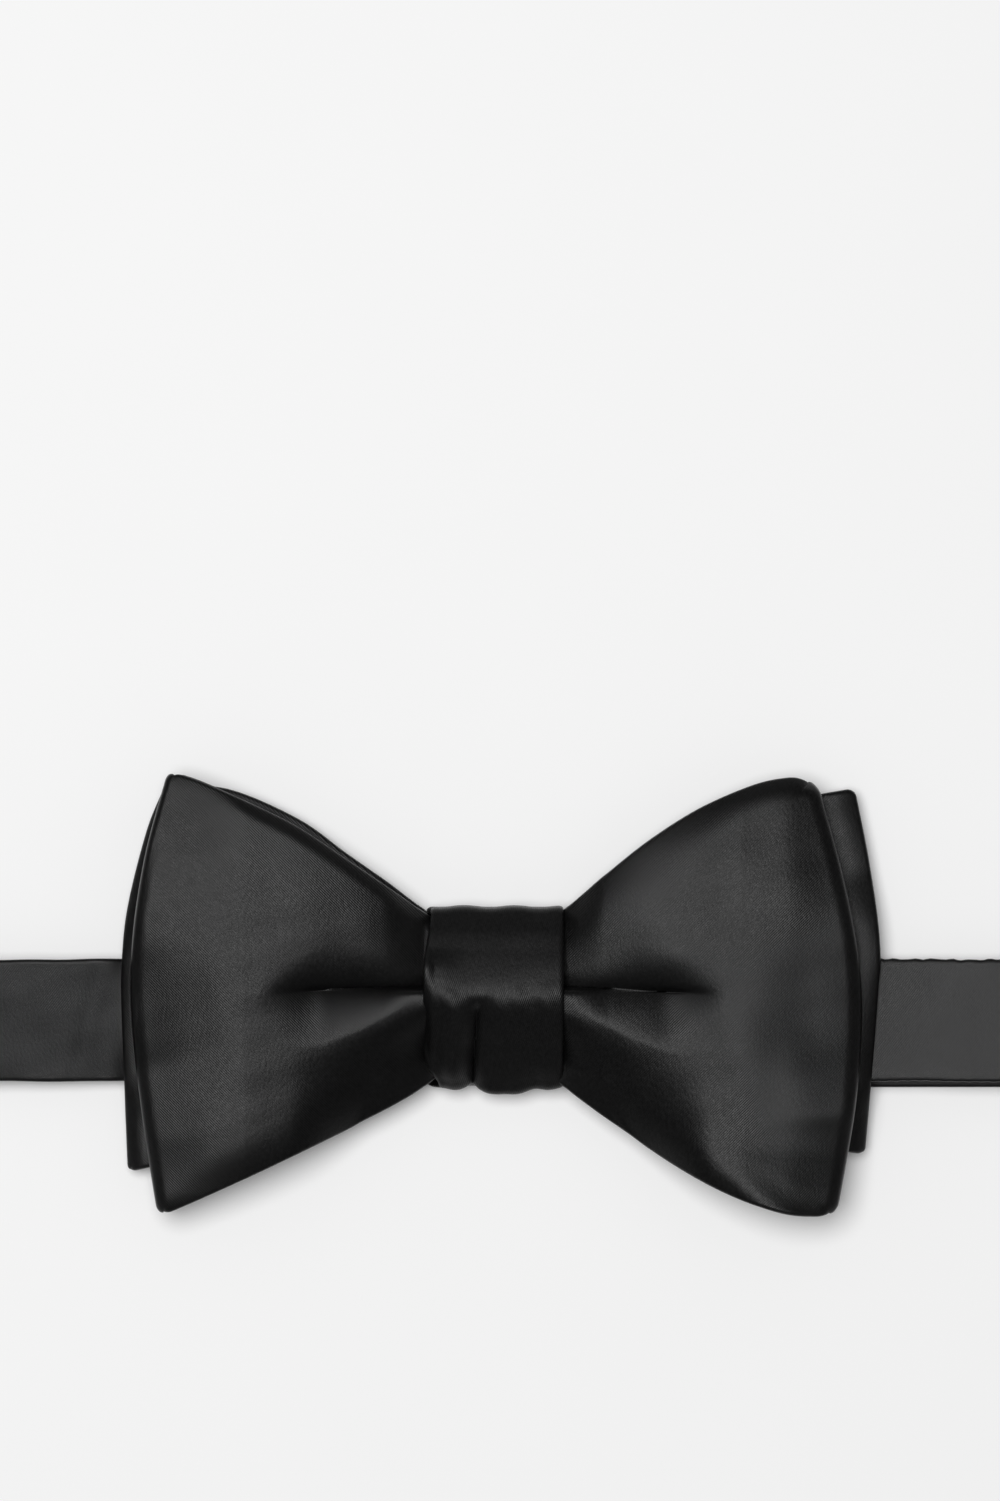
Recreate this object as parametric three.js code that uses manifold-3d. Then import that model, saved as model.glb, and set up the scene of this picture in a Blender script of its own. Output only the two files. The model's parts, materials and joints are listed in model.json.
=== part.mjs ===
// A pre-tied satin bow tie, lying on its back with the bow facing up.
//
// Millimetres, +Z up. The origin is the middle of the knot's back face, on the surface that the
// tie lies on. +X runs to the viewer's right along the neck band, +Y to the top of the bow.
//
// The bow is a closed loop of satin in front and a flat pair of tails behind, gathered together
// by a thread and held by the knot. The neck band runs through the knot, folds back under itself
// at both ends, and ends in an adjuster and a hook on the left and in an eye on the right.
import * as THREE from "three";
import { mergeVertices } from "three/addons/utils/BufferGeometryUtils.js";
import Module from "manifold-3d";

const wasm = await Module();
wasm.setup();

// ---------------------------------------------------------------- driving dimensions

const GAP = 0.1; // between two layers that lie on each other

const PLY = { thickness: 1.2, cavity: 0.7, interlining: 0.3 }; // a panel of the bow, through its layers
const STRAP = { thickness: 0.9, cavity: 0.5, interlining: 0.3, halfWidth: 9.5 };

const KNOT = { halfWidth: 10.8, halfHeight: 14.4, top: 14.5, corner: 1.6, shoulder: 8 };
const KNOT_PLY = { thickness: 1.2, wall: 0.25, lining: 0.4 };
const KNOT_SEAM = { y: 6, gap: 0.6 }; // where the two ends of the knot's strip meet on its back
const CINCH = { halfWidth: 2.5, thickness: 0.5, bottom: 2.65 }; // the thread that gathers the waist

const BAND = {
  fold: 106, // where each arm folds back under the front run
  frontY: -3.3,
  leftY: -3.9, // the arms show a little below the front run
  rightY: -4.6,
  waistHeight: 2.0,
  height: 5.4, // the front run lies on the clips under it
  foldRadius: 1.1, // to the middle of the strap
};
const ARM_HEIGHT = STRAP.thickness / 2; // of the middle of a strap that lies on the surface
const LAYER = STRAP.thickness + GAP; // from one strap to the strap on it
const FOLD_HEIGHT = ARM_HEIGHT + 2 * BAND.foldRadius;

const PLATE = { bottom: 0.1, thickness: 0.8 }; // the sheet metal of the hook and the eye
const BAR_RADIUS = 0.5; // the round bar that a strap end is looped round
const CLIP_HALF_WIDTH = 12;
const RAIL = 1.8; // width of a clip's side rails
const BAR_HEIGHT = ARM_HEIGHT + BAND.foldRadius;
const HOOK = { x: -34, webStart: 2.6, webEnd: 4.6, tongueHalfWidth: 4.5, bend: 12, legEnd: 6.5 };
const EYE = { x: 29, webStart: 2.6, webEnd: 4.6, halfWidth: 8, slotHalfWidth: 6, slot: 4.8, bar: 1.6 };
const SLIDER = { x: -50, bar: 1.6, slot: 4.6, slotHalfWidth: 10.2, thickness: 0.8 };
SLIDER.bottom = 2 * LAYER;
SLIDER.halfLength = 1.5 * SLIDER.bar + SLIDER.slot;

// Half outlines of the bow's two pieces, as points from the middle of the waist outwards. The
// outer edges run from the bottom corner to the top one.
const WAIST = 11.4;
const LOOP = {
  left: {
    top: [[0, WAIST], [-10.8, 12], [-15, 16.3], [-23, 21.7], [-31, 27], [-39, 31], [-46, 34.2], [-50.8, 35.8]],
    bottom: [[0, -WAIST], [-10.8, -12], [-15, -16], [-23, -20.3], [-31, -23.7], [-39, -27.6], [-46, -31.1], [-52, -34]],
    outer: [[-52, -34], [-54.6, -20], [-56.4, -4], [-56.4, 8], [-54.4, 22], [-50.8, 35.8]],
  },
  right: {
    top: [[0, WAIST], [10.8, 12], [16.8, 18.8], [24.7, 25], [32.6, 30], [40.5, 33.4], [45.5, 34.6], [50.4, 34.8]],
    bottom: [[0, -WAIST], [10.8, -12], [16.8, -17.2], [24.7, -22.2], [32.6, -26.6], [41, -31.2], [48, -33.6], [53.4, -34]],
    outer: [[53.4, -34], [56, -20], [57.4, -6], [57, 6], [54.4, 20], [50.4, 34.8]],
  },
};
const TAILS = {
  left: {
    top: [[0, WAIST], [-10.8, 12.4], [-16, 17.4], [-23.4, 22.8], [-31, 28.3], [-42, 33], [-52, 33.6]],
    bottom: [[0, -WAIST], [-10.8, -12.4], [-16, -14.6], [-30, -19.4], [-44, -24.2], [-57.2, -27.4]],
    outer: [[-57.2, -27.4], [-58, -12], [-58.6, 3], [-57.6, 14], [-55, 26], [-52, 33.6]],
  },
  right: {
    top: [[0, WAIST], [10.8, 12.4], [18, 18.6], [30, 25.4], [44, 30.6], [57.3, 33.2]],
    bottom: [[0, -WAIST], [10.8, -12.4], [18, -15], [30, -18.6], [44, -22.2], [58.8, -25]],
    outer: [[58.8, -25], [59.8, -13], [60.8, 0], [61.2, 8], [59.8, 20], [57.3, 33.2]],
  },
};

// The fold at each end of the loop takes this share of the way from the fold to the waist.
const LOOP_FOLD = { from: 0.975, share: 0.2 };
const LOOP_ENDS = 0.005; // the loop's two ends stop this far short of each other, at its back

// ---------------------------------------------------------------- solids and surfaces

function solidOf(geometry) {
  const bare = geometry.clone().deleteAttribute("normal").deleteAttribute("uv");
  const merged = mergeVertices(bare, 1e-4);
  return new wasm.Manifold(
    new wasm.Mesh({
      numProp: 3,
      vertProperties: new Float32Array(merged.attributes.position.array),
      triVerts: new Uint32Array(merged.index.array),
    }),
  );
}

function geometryOf(solid) {
  const mesh = solid.getMesh();
  const geometry = new THREE.BufferGeometry();
  geometry.setAttribute("position", new THREE.BufferAttribute(mesh.vertProperties, 3));
  geometry.setIndex(new THREE.BufferAttribute(mesh.triVerts, 1));
  geometry.computeVertexNormals();
  return geometry;
}

const cut = (from, ...tools) => geometryOf(tools.reduce((s, t) => s.subtract(solidOf(t)), solidOf(from)));
const join = (...pieces) => geometryOf(pieces.map(solidOf).reduce((a, b) => a.add(b)));

// A sheet of cloth: surface(u, v) is its middle, and the sheet has that thickness across it.
function sheet(surface, { u, v = [-1, 1], thickness, nu, nv }) {
  const geometry = new THREE.BoxGeometry(1, 1, 1, nu, nv, 1);
  const position = geometry.attributes.position;
  const step = 1e-3;
  for (let i = 0; i < position.count; i++) {
    const a = THREE.MathUtils.lerp(u[0], u[1], position.getX(i) + 0.5);
    const b = THREE.MathUtils.lerp(v[0], v[1], position.getY(i) + 0.5);
    const along = surface(a + step, b).sub(surface(a - step, b));
    const across = surface(a, b + step).sub(surface(a, b - step));
    const normal = along.cross(across).normalize();
    const point = surface(a, b).addScaledVector(normal, position.getZ(i) * thickness);
    position.setXYZ(i, point.x, point.y, point.z);
  }
  return geometry;
}

const ramp = (from, to, x) => THREE.MathUtils.smoothstep(x, from, to);

function box(x0, x1, y0, y1, z0, z1) {
  const geometry = new THREE.BoxGeometry(x1 - x0, y1 - y0, z1 - z0);
  return geometry.translate((x0 + x1) / 2, (y0 + y1) / 2, (z0 + z1) / 2);
}

// ---------------------------------------------------------------- the bow's panels

// One wing in plan: a patch between its top, bottom and outer edges and the waist line.
// u runs from the waist, 0, to the outer edge, 1, and v from the bottom, -1, to the top, 1.
function wing({ top, bottom, outer }) {
  const curve = (points) => new THREE.SplineCurve(points.map(([x, y]) => new THREE.Vector2(x, y)));
  const [above, below, edge] = [curve(top), curve(bottom), curve(outer)];
  const at = (line, t) => line.getPointAt(THREE.MathUtils.clamp(t, 0, 1));
  const corners = [below.getPoint(0), above.getPoint(0), below.getPoint(1), above.getPoint(1)];
  return (u, v) => {
    const s = (v + 1) / 2;
    const p = at(below, u).multiplyScalar(1 - s).addScaledVector(at(above, u), s);
    p.addScaledVector(corners[0].clone().lerp(corners[1], s), 1 - u).addScaledVector(at(edge, s), u);
    p.addScaledVector(corners[0], -(1 - u) * (1 - s)).addScaledVector(corners[1], -(1 - u) * s);
    return p.addScaledVector(corners[2], -u * (1 - s)).addScaledVector(corners[3], -u * s);
  };
}

// Heights of the middle of each panel over the surface.
function tailsHeight(x, y) {
  return 4.1 + 2.8 * ramp(9, 20, Math.abs(x)) - 3.8 * ramp(12, 34, Math.abs(y));
}

const PANEL_STEP = PLY.thickness + 4 * GAP;

function loopBackHeight(x, y) {
  return tailsHeight(x, y) + PANEL_STEP;
}

// The front of the loop puffs out towards its fold, and is pleated into two lobes at the waist.
function loopFrontHeight(x, y, u, v) {
  const puff = ramp(0.1, 0.8, u) * (3.6 - 2.9 * v * v);
  const lobes = 3.4 * (1 - ramp(0.1, 0.6, u)) * Math.sin(Math.PI * v) ** 2;
  return loopBackHeight(x, y) + PANEL_STEP + GAP + puff + lobes;
}

// The loop, from its back end round the left fold, along the front, round the right fold and to
// its other end: s runs from 0 to 4, with the folds at 1 and 3 and the waist's front at 2.
function loopSurface() {
  const wings = [wing(LOOP.left), wing(LOOP.right)];
  const { from, share } = LOOP_FOLD;
  return (s, v) => {
    const left = s < 2;
    const front = s > 1 && s < 3;
    const away = Math.min(1, Math.abs(s - (left ? 1 : 3))); // from the fold
    const turn = Math.min(1, away / share) * (Math.PI / 2);
    const flat = 1 - Math.max(0, away - share) / (1 - share);
    const u = away < share ? from + (1 - from) * Math.cos(turn) : from * flat;
    const p = wings[left ? 0 : 1](u, v);
    const back = loopBackHeight(p.x, p.y);
    const half = (loopFrontHeight(p.x, p.y, u, v) - back) / 2;
    return new THREE.Vector3(p.x, p.y, back + half * (1 + (front ? 1 : -1) * Math.sin(turn)));
  };
}

function tailsSurface() {
  const [left, right] = [wing(TAILS.left), wing(TAILS.right)];
  return (u, v) => {
    const p = u < 0 ? left(-u, v) : right(u, v);
    return new THREE.Vector3(p.x, p.y, tailsHeight(p.x, p.y));
  };
}

// A satin panel is hollow, and its interlining lies inside it.
function loopPieces() {
  const surface = loopSurface();
  const grid = { nu: 48, nv: 8 };
  const ends = (short) => [short, 4 - short];
  const outside = sheet(surface, { ...grid, u: ends(LOOP_ENDS), thickness: PLY.thickness });
  const inside = sheet(surface, { ...grid, u: ends(0), v: [-0.97, 0.97], thickness: PLY.cavity });
  return {
    shell: cut(outside, inside),
    interlining: sheet(surface, {
      ...grid,
      u: ends(2 * LOOP_ENDS),
      v: [-0.95, 0.95],
      thickness: PLY.interlining,
    }),
  };
}

function tailsPieces() {
  const surface = tailsSurface();
  const grid = { nu: 24, nv: 6 };
  const outside = sheet(surface, { ...grid, u: [-1, 1], thickness: PLY.thickness });
  const inside = sheet(surface, { ...grid, u: [-0.98, 0.98], v: [-0.96, 0.96], thickness: PLY.cavity });
  const turningGap = box(-8, -3.5, -3, 3, 2.5, 4.1); // left open to turn the panel right side out
  return {
    shell: cut(outside, inside, turningGap),
    interlining: sheet(surface, {
      ...grid,
      u: [-0.97, 0.97],
      v: [-0.94, 0.94],
      thickness: PLY.interlining,
    }),
  };
}

// ---------------------------------------------------------------- the knot

// The knot's outline across the band, flat at the back and domed in front, made smaller by inset.
function knotOutline(inset, bottom = inset) {
  const half = KNOT.halfHeight - inset;
  const top = KNOT.top - inset;
  const r = Math.max(0.4, KNOT.corner - inset);
  const shape = new THREE.Shape();
  shape.moveTo(-half + r, bottom);
  shape.lineTo(half - r, bottom);
  shape.quadraticCurveTo(half, bottom, half, bottom + r);
  shape.lineTo(half, KNOT.shoulder);
  shape.bezierCurveTo(half, top - 2.5, half * 0.62, top, 0, top);
  shape.bezierCurveTo(-half * 0.62, top, -half, top - 2.5, -half, KNOT.shoulder);
  shape.lineTo(-half, bottom + r);
  shape.quadraticCurveTo(-half, bottom, -half + r, bottom);
  return shape;
}

// A shape drawn in Y and Z, drawn out along X from -halfLength to halfLength.
function alongX(shape, halfLength) {
  const geometry = new THREE.ExtrudeGeometry(shape, {
    depth: 2 * halfLength,
    bevelEnabled: false,
    curveSegments: 7,
  });
  const toRow = new THREE.Matrix4().set(0, 0, 1, -halfLength, 1, 0, 0, 0, 0, 1, 0, 0, 0, 0, 0, 1);
  return geometry.applyMatrix4(toRow);
}

function knotRing(outer, inner, halfWidth, bottom) {
  const shape = knotOutline(outer, bottom);
  const floor = bottom === undefined ? inner : bottom + inner - outer;
  shape.holes.push(knotOutline(inner, floor));
  return alongX(shape, halfWidth);
}

function knotPieces() {
  const { thickness, wall, lining } = KNOT_PLY;
  const seam = box(-20, 20, KNOT_SEAM.y - KNOT_SEAM.gap / 2, KNOT_SEAM.y + KNOT_SEAM.gap / 2, -1, 2);
  const wideSeam = box(-20, 20, KNOT_SEAM.y - KNOT_SEAM.gap, KNOT_SEAM.y + KNOT_SEAM.gap, -1, 2);
  const inset = (thickness - lining) / 2;
  return {
    wrap: cut(
      knotRing(0, thickness, KNOT.halfWidth),
      knotRing(wall, thickness - wall, KNOT.halfWidth - 2 * wall),
      seam,
    ),
    lining: cut(knotRing(inset, thickness - inset, KNOT.halfWidth - 3 * wall), wideSeam),
    stitches: box(-KNOT.halfWidth + 1, KNOT.halfWidth - 1, KNOT_SEAM.y - 0.15, KNOT_SEAM.y + 0.15, 0.1, 1.1),
  };
}

function cinchRing() {
  const outer = KNOT_PLY.thickness + 2 * GAP;
  return knotRing(outer, outer + CINCH.thickness, CINCH.halfWidth, CINCH.bottom);
}

// ---------------------------------------------------------------- the neck band

// Points of a strap's middle line in X and Z, at even steps of x, with that height.
function stretch(x0, x1, steps, height) {
  return Array.from({ length: steps + 1 }, (_, i) => {
    const x = THREE.MathUtils.lerp(x0, x1, i / steps);
    return new THREE.Vector2(x, height(x));
  });
}

// A half circle of the strap's middle line, turning from one layer to the next.
function turn(x, z, radius, from, to, steps = 8) {
  return Array.from({ length: steps + 1 }, (_, i) => {
    const angle = THREE.MathUtils.lerp(from, to, i / steps);
    return new THREE.Vector2(x + radius * Math.cos(angle), z + radius * Math.sin(angle));
  });
}

// A strap that follows those points, as a surface for sheet(). halfWidth may depend on x.
function strapSurface(points, y, halfWidth = () => STRAP.halfWidth) {
  const last = points.length - 1;
  return (u, v) => {
    const i = THREE.MathUtils.clamp(u * last, 0, last);
    const k = Math.min(Math.floor(i), last - 1);
    const p = points[k].clone().lerp(points[k + 1], i - k);
    return new THREE.Vector3(p.x, y + v * halfWidth(p.x), p.y);
  };
}

function strap(points, y, options = {}) {
  const { thickness = STRAP.thickness, v = [-1, 1], u = [0, 1], halfWidth } = options;
  return sheet(strapSurface(points, y, halfWidth), { u, v, thickness, nu: points.length - 1, nv: 1 });
}

// A length of the band: a flat satin tube, open at its ends, and the interlining in it.
function tubePieces(points, y, halfWidth) {
  const ends = 0.003;
  return {
    shell: cut(
      strap(points, y, { halfWidth, u: [ends, 1 - ends] }),
      strap(points, y, { halfWidth, v: [-0.97, 0.97], thickness: STRAP.cavity }),
    ),
    interlining: strap(points, y, {
      halfWidth,
      u: [2 * ends, 1 - 2 * ends],
      v: [-0.95, 0.95],
      thickness: STRAP.interlining,
    }),
  };
}

function frontRunHeight(x) {
  const rise = (BAND.height - BAND.waistHeight) * ramp(11, 21, Math.abs(x));
  const fall = (BAND.height - FOLD_HEIGHT) * ramp(94, 105, Math.abs(x));
  return BAND.waistHeight + rise - fall;
}

function frontRun() {
  const points = [
    ...stretch(-BAND.fold, -93, 7, frontRunHeight),
    ...stretch(-22, -10, 7, frontRunHeight),
    ...stretch(10, 22, 7, frontRunHeight),
    ...stretch(93, BAND.fold, 7, frontRunHeight),
  ];
  const gathered = (x) => STRAP.halfWidth - 0.5 * (1 - ramp(9, 16, Math.abs(x)));
  return tubePieces(points, BAND.frontY, gathered);
}

// The fold at one end of the band, from the front run down to the arm.
function bandFold(side) {
  const half = Math.PI / 2;
  const points = turn(side * BAND.fold, BAR_HEIGHT, BAND.foldRadius, half, half - side * Math.PI);
  const arm = side < 0 ? BAND.leftY : BAND.rightY;
  const halfWidth = () => STRAP.halfWidth - (BAND.frontY - arm) / 2;
  return strap(points, (BAND.frontY + arm) / 2, { halfWidth });
}

// The left arm's main run: flat on the surface, under the adjuster's near bar, over its middle
// bar, under its far bar, and on the return run up to the hook's bar.
function leftRunHeight(x) {
  const { x: middle, halfLength, bar, slot } = SLIDER;
  const over = 4 * LAYER - ARM_HEIGHT - GAP - LAYER + 0.4;
  const climb = [middle - bar / 2 - slot + 0.2, middle - bar];
  const drop = [middle + 0.9 * bar, middle + bar / 2 + slot - 0.2];
  const step = LAYER * ramp(middle - halfLength - 5, middle - halfLength - 1, x);
  const hump = over * (ramp(...climb, x) - ramp(...drop, x));
  const toHook = (FOLD_HEIGHT - ARM_HEIGHT - LAYER) * ramp(HOOK.x - 7, HOOK.x - 2, x);
  return ARM_HEIGHT + step + hump + toHook;
}

const STRAP_END = HOOK.x - 1.7; // where the runs meet the loop round the hook's bar

function leftRun() {
  const start = SLIDER.x - SLIDER.halfLength;
  const end = SLIDER.x + SLIDER.halfLength;
  const points = [
    ...stretch(-BAND.fold, start - 5.5, 1, leftRunHeight),
    ...stretch(start - 5, start - 1, 4, leftRunHeight),
    ...stretch(start + 1.6, end - 1.6, 20, leftRunHeight),
    ...stretch(HOOK.x - 7.5, STRAP_END, 7, leftRunHeight),
  ];
  return tubePieces(points, BAND.leftY);
}

// The strap's sewn end, looped round the adjuster's middle bar.
function adjusterLoop() {
  const { x, bar, bottom, thickness } = SLIDER;
  const radius = (thickness + 2 * GAP + STRAP.thickness) / 2;
  const middle = bottom + thickness / 2;
  const right = x + bar / 2;
  const points = [
    new THREE.Vector2(right, middle - radius),
    ...turn(x - bar / 2, middle, radius, -Math.PI / 2, (-3 * Math.PI) / 2),
    new THREE.Vector2(right, middle + radius),
  ];
  return strap(points, BAND.leftY);
}

// The return run, from that loop back to the hook, under the main run.
function returnRun() {
  const start = SLIDER.x + SLIDER.bar / 2 + GAP;
  const height = (x) => ARM_HEIGHT + LAYER * (1 - ramp(start, start + 3.4, x));
  const points = [...stretch(start, start + 3.5, 5, height), ...stretch(start + 4, STRAP_END, 1, height)];
  return strap(points, BAND.leftY);
}

function hookLoop() {
  const half = Math.PI / 2;
  const start = STRAP_END + GAP;
  const points = [
    new THREE.Vector2(start, ARM_HEIGHT),
    ...turn(HOOK.x, BAR_HEIGHT, BAND.foldRadius, -half, half),
    new THREE.Vector2(start, FOLD_HEIGHT),
  ];
  return strap(points, BAND.leftY);
}

// The right arm: along the surface, up over its own sewn end, and round the eye's bar.
const SEWN_END = EYE.x + 13;

function rightRun() {
  const height = (x) => {
    const over = LAYER * (1 - ramp(SEWN_END + 1, SEWN_END + 5, x));
    const toEye = (FOLD_HEIGHT - ARM_HEIGHT - LAYER) * (1 - ramp(EYE.x + 1.5, EYE.x + 7, x));
    return ARM_HEIGHT + over + toEye;
  };
  const half = Math.PI / 2;
  const points = [
    new THREE.Vector2(BAND.fold, ARM_HEIGHT),
    ...stretch(SEWN_END + 5.5, SEWN_END + 0.5, 5, height),
    ...stretch(EYE.x + 7.5, EYE.x + 1.5, 6, height),
    ...turn(EYE.x, BAR_HEIGHT, BAND.foldRadius, half, 3 * half),
    new THREE.Vector2(EYE.x + 1.5, ARM_HEIGHT),
    new THREE.Vector2(SEWN_END, ARM_HEIGHT),
  ];
  return tubePieces(points, BAND.rightY);
}

// A bar tack: the dense row of stitches across a strap that holds its sewn end down.
function barTack(x, z) {
  const half = STRAP.halfWidth - 1.5;
  return box(x - 0.5, x + 0.5, BAND.rightY - half, BAND.rightY + half, z, z + 0.35);
}

// ---------------------------------------------------------------- the metal clips

function rectangle(path, x0, x1, y0, y1, r) {
  path.moveTo(x0 + r, y0);
  path.lineTo(x1 - r, y0);
  path.quadraticCurveTo(x1, y0, x1, y0 + r);
  path.lineTo(x1, y1 - r);
  path.quadraticCurveTo(x1, y1, x1 - r, y1);
  path.lineTo(x0 + r, y1);
  path.quadraticCurveTo(x0, y1, x0, y1 - r);
  path.lineTo(x0, y0 + r);
  path.quadraticCurveTo(x0, y0, x0 + r, y0);
  return path;
}

function plate(shape, bottom, thickness) {
  const made = new THREE.ExtrudeGeometry(shape, { depth: thickness, bevelEnabled: false, curveSegments: 4 });
  return made.translate(0, 0, bottom);
}

// The end of a clip that a strap is looped round, drawn about its round bar with the clip going
// off to +X: the bar, two side rails, and the web that the rest of the clip grows from.
function clipEnd({ webStart, webEnd }) {
  const half = CLIP_HALF_WIDTH;
  const bar = new THREE.CylinderGeometry(BAR_RADIUS, BAR_RADIUS, 2 * half - 1, 12);
  const rail = (side) => {
    const [y0, y1] = side > 0 ? [half - RAIL, half] : [-half, RAIL - half];
    return box(-0.9, webEnd, y0, y1, PLATE.bottom, BAR_HEIGHT + 0.6);
  };
  const web = box(webStart, webEnd, -half, half, PLATE.bottom, PLATE.bottom + PLATE.thickness);
  return [bar.translate(0, 0, BAR_HEIGHT), rail(1), rail(-1), web];
}

// The hook: its tongue runs out, turns up and comes back over itself.
function hook() {
  const { webEnd, bend, legEnd, tongueHalfWidth } = HOOK;
  const outer = 1.3;
  const inner = outer - PLATE.thickness;
  const middle = PLATE.bottom + outer;
  const side = new THREE.Shape();
  side.moveTo(webEnd - 0.5, PLATE.bottom);
  side.lineTo(bend, PLATE.bottom);
  side.absarc(bend, middle, outer, -Math.PI / 2, Math.PI / 2, false);
  side.lineTo(legEnd, middle + outer);
  side.lineTo(legEnd, middle + inner);
  side.lineTo(bend, middle + inner);
  side.absarc(bend, middle, inner, Math.PI / 2, -Math.PI / 2, true);
  side.lineTo(webEnd - 0.5, middle - inner);
  const tongue = new THREE.ExtrudeGeometry(side, {
    depth: 2 * tongueHalfWidth,
    bevelEnabled: false,
    curveSegments: 8,
  });
  tongue.rotateX(Math.PI / 2).translate(0, tongueHalfWidth, 0);
  return join(...clipEnd(HOOK), tongue).translate(HOOK.x, BAND.leftY, 0);
}

// The eye: a frame with the slot that the hook's tongue goes through.
function eye() {
  const { webEnd, halfWidth, slotHalfWidth, slot, bar } = EYE;
  const frame = rectangle(new THREE.Shape(), webEnd - 1, webEnd + slot + bar, -halfWidth, halfWidth, 1.5);
  frame.holes.push(rectangle(new THREE.Path(), webEnd, webEnd + slot, -slotHalfWidth, slotHalfWidth, 0.6));
  const made = join(...clipEnd(EYE), plate(frame, PLATE.bottom, PLATE.thickness));
  return made.rotateZ(Math.PI).translate(EYE.x, BAND.rightY, 0);
}

// The slide adjuster: a frame with two slots either side of its middle bar.
function slideAdjuster() {
  const { x, halfLength, bar, slot, slotHalfWidth, bottom, thickness } = SLIDER;
  const half = CLIP_HALF_WIDTH + 0.2;
  const frame = rectangle(new THREE.Shape(), -halfLength, halfLength, -half, half, 1.8);
  for (const start of [-bar / 2 - slot, bar / 2]) {
    const hole = rectangle(new THREE.Path(), start, start + slot, -slotHalfWidth, slotHalfWidth, 0.6);
    frame.holes.push(hole);
  }
  return plate(frame, bottom, thickness).translate(x, BAND.leftY, 0);
}

// ---------------------------------------------------------------- the tie

const satin = () => new THREE.MeshStandardMaterial({ color: 0x262626, roughness: 0.42, metalness: 0 });
const canvas = () => new THREE.MeshStandardMaterial({ color: 0x3c3a38, roughness: 0.9, metalness: 0 });
const thread = () => new THREE.MeshStandardMaterial({ color: 0x1c1c1c, roughness: 0.6, metalness: 0 });
const metal = () => new THREE.MeshStandardMaterial({ color: 0xb9b8b4, roughness: 0.3, metalness: 0.9 });

const tie = new THREE.Group();

function add(name, geometry, material) {
  const mesh = new THREE.Mesh(geometry, material);
  mesh.name = name;
  tie.add(mesh);
}

const loop = loopPieces();
add("bow_loop", loop.shell, satin());
add("bow_loop_interlining", loop.interlining, canvas());

const tails = tailsPieces();
add("bow_tails", tails.shell, satin());
add("bow_tails_interlining", tails.interlining, canvas());
add("waist_cinch_thread", cinchRing(), thread());

const knot = knotPieces();
add("knot_wrap", knot.wrap, satin());
add("knot_wrap_interlining", knot.lining, canvas());
add("knot_closing_stitches", knot.stitches, thread());

const runs = [
  ["band_front", frontRun()],
  ["band_left", leftRun()],
  ["band_right", rightRun()],
];
for (const [name, { shell, interlining }] of runs) {
  add(name, shell, satin());
  add(`${name}_interlining`, interlining, canvas());
}
add("band_fold_left", bandFold(-1), satin());
add("band_fold_right", bandFold(1), satin());

add("adjuster_strap_loop", adjusterLoop(), satin());
add("strap_return_run", returnRun(), satin());
add("hook_strap_loop", hookLoop(), satin());
add("eye_bar_tack", barTack(SEWN_END - 1.5, 2 * LAYER), thread());

add("slide_adjuster", slideAdjuster(), metal());
add("hook", hook(), metal());
add("eye", eye(), metal());

export default tie;
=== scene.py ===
"""A black satin bow tie, lying on its back on a pale floor, seen from straight above."""

import json
import math

import bmesh
import bpy
import numpy as np
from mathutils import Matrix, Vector


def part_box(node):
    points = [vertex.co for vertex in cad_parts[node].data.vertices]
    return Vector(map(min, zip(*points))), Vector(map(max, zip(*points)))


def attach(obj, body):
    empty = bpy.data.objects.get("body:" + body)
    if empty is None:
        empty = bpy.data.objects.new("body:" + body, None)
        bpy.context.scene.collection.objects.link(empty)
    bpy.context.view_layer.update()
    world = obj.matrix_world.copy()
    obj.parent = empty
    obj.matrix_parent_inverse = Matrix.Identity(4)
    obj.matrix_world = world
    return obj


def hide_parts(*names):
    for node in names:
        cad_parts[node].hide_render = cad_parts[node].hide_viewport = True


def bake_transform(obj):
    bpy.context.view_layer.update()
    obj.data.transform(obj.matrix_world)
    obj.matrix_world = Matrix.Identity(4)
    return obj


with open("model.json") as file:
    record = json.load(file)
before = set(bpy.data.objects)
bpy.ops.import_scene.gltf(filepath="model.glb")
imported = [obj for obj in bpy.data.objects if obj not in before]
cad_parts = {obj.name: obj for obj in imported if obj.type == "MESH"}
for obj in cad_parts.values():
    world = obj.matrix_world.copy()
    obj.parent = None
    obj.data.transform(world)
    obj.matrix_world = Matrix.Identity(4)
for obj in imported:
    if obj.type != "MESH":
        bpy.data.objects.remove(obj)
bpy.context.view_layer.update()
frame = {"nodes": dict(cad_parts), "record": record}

MM = 0.001
GAP = 0.1  # mm, between two layers that lie on each other


def box_mm(node):
    low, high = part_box(node)
    return np.array(low) / MM, np.array(high) / MM


JOINTS = {j["name"]: j for j in frame["record"]["behaviour"]["joints"]}


def pivot_mm(joint):
    return [c / MM for c in JOINTS[joint]["pos_m"]]


# ---------------------------------------------------------------- sizes, in mm, from the CAD model

FOLD_X, RIGHT_Y, FOLD_Z = pivot_mm("right_arm_open")
LEFT_Y = pivot_mm("left_arm_open")[1]
HOOK_X = pivot_mm("hook_swing")[0]
EYE_X = pivot_mm("eye_swing")[0]
FRONT_LOW, FRONT_HIGH = box_mm("band_front")
FRONT_Y = (FRONT_LOW[1] + FRONT_HIGH[1]) / 2
KNOT_HIGH = box_mm("knot_wrap")[1]
SLIDER_LOW, SLIDER_HIGH = box_mm("slide_adjuster")
SLIDER_X = (SLIDER_LOW[0] + SLIDER_HIGH[0]) / 2
SLIDER_HALF = (SLIDER_HIGH[0] - SLIDER_LOW[0]) / 2
SLIDER_BAR = 1.6
SLIDER_SLOT = SLIDER_HALF - 1.5 * SLIDER_BAR  # between the middle bar and an end bar

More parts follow.
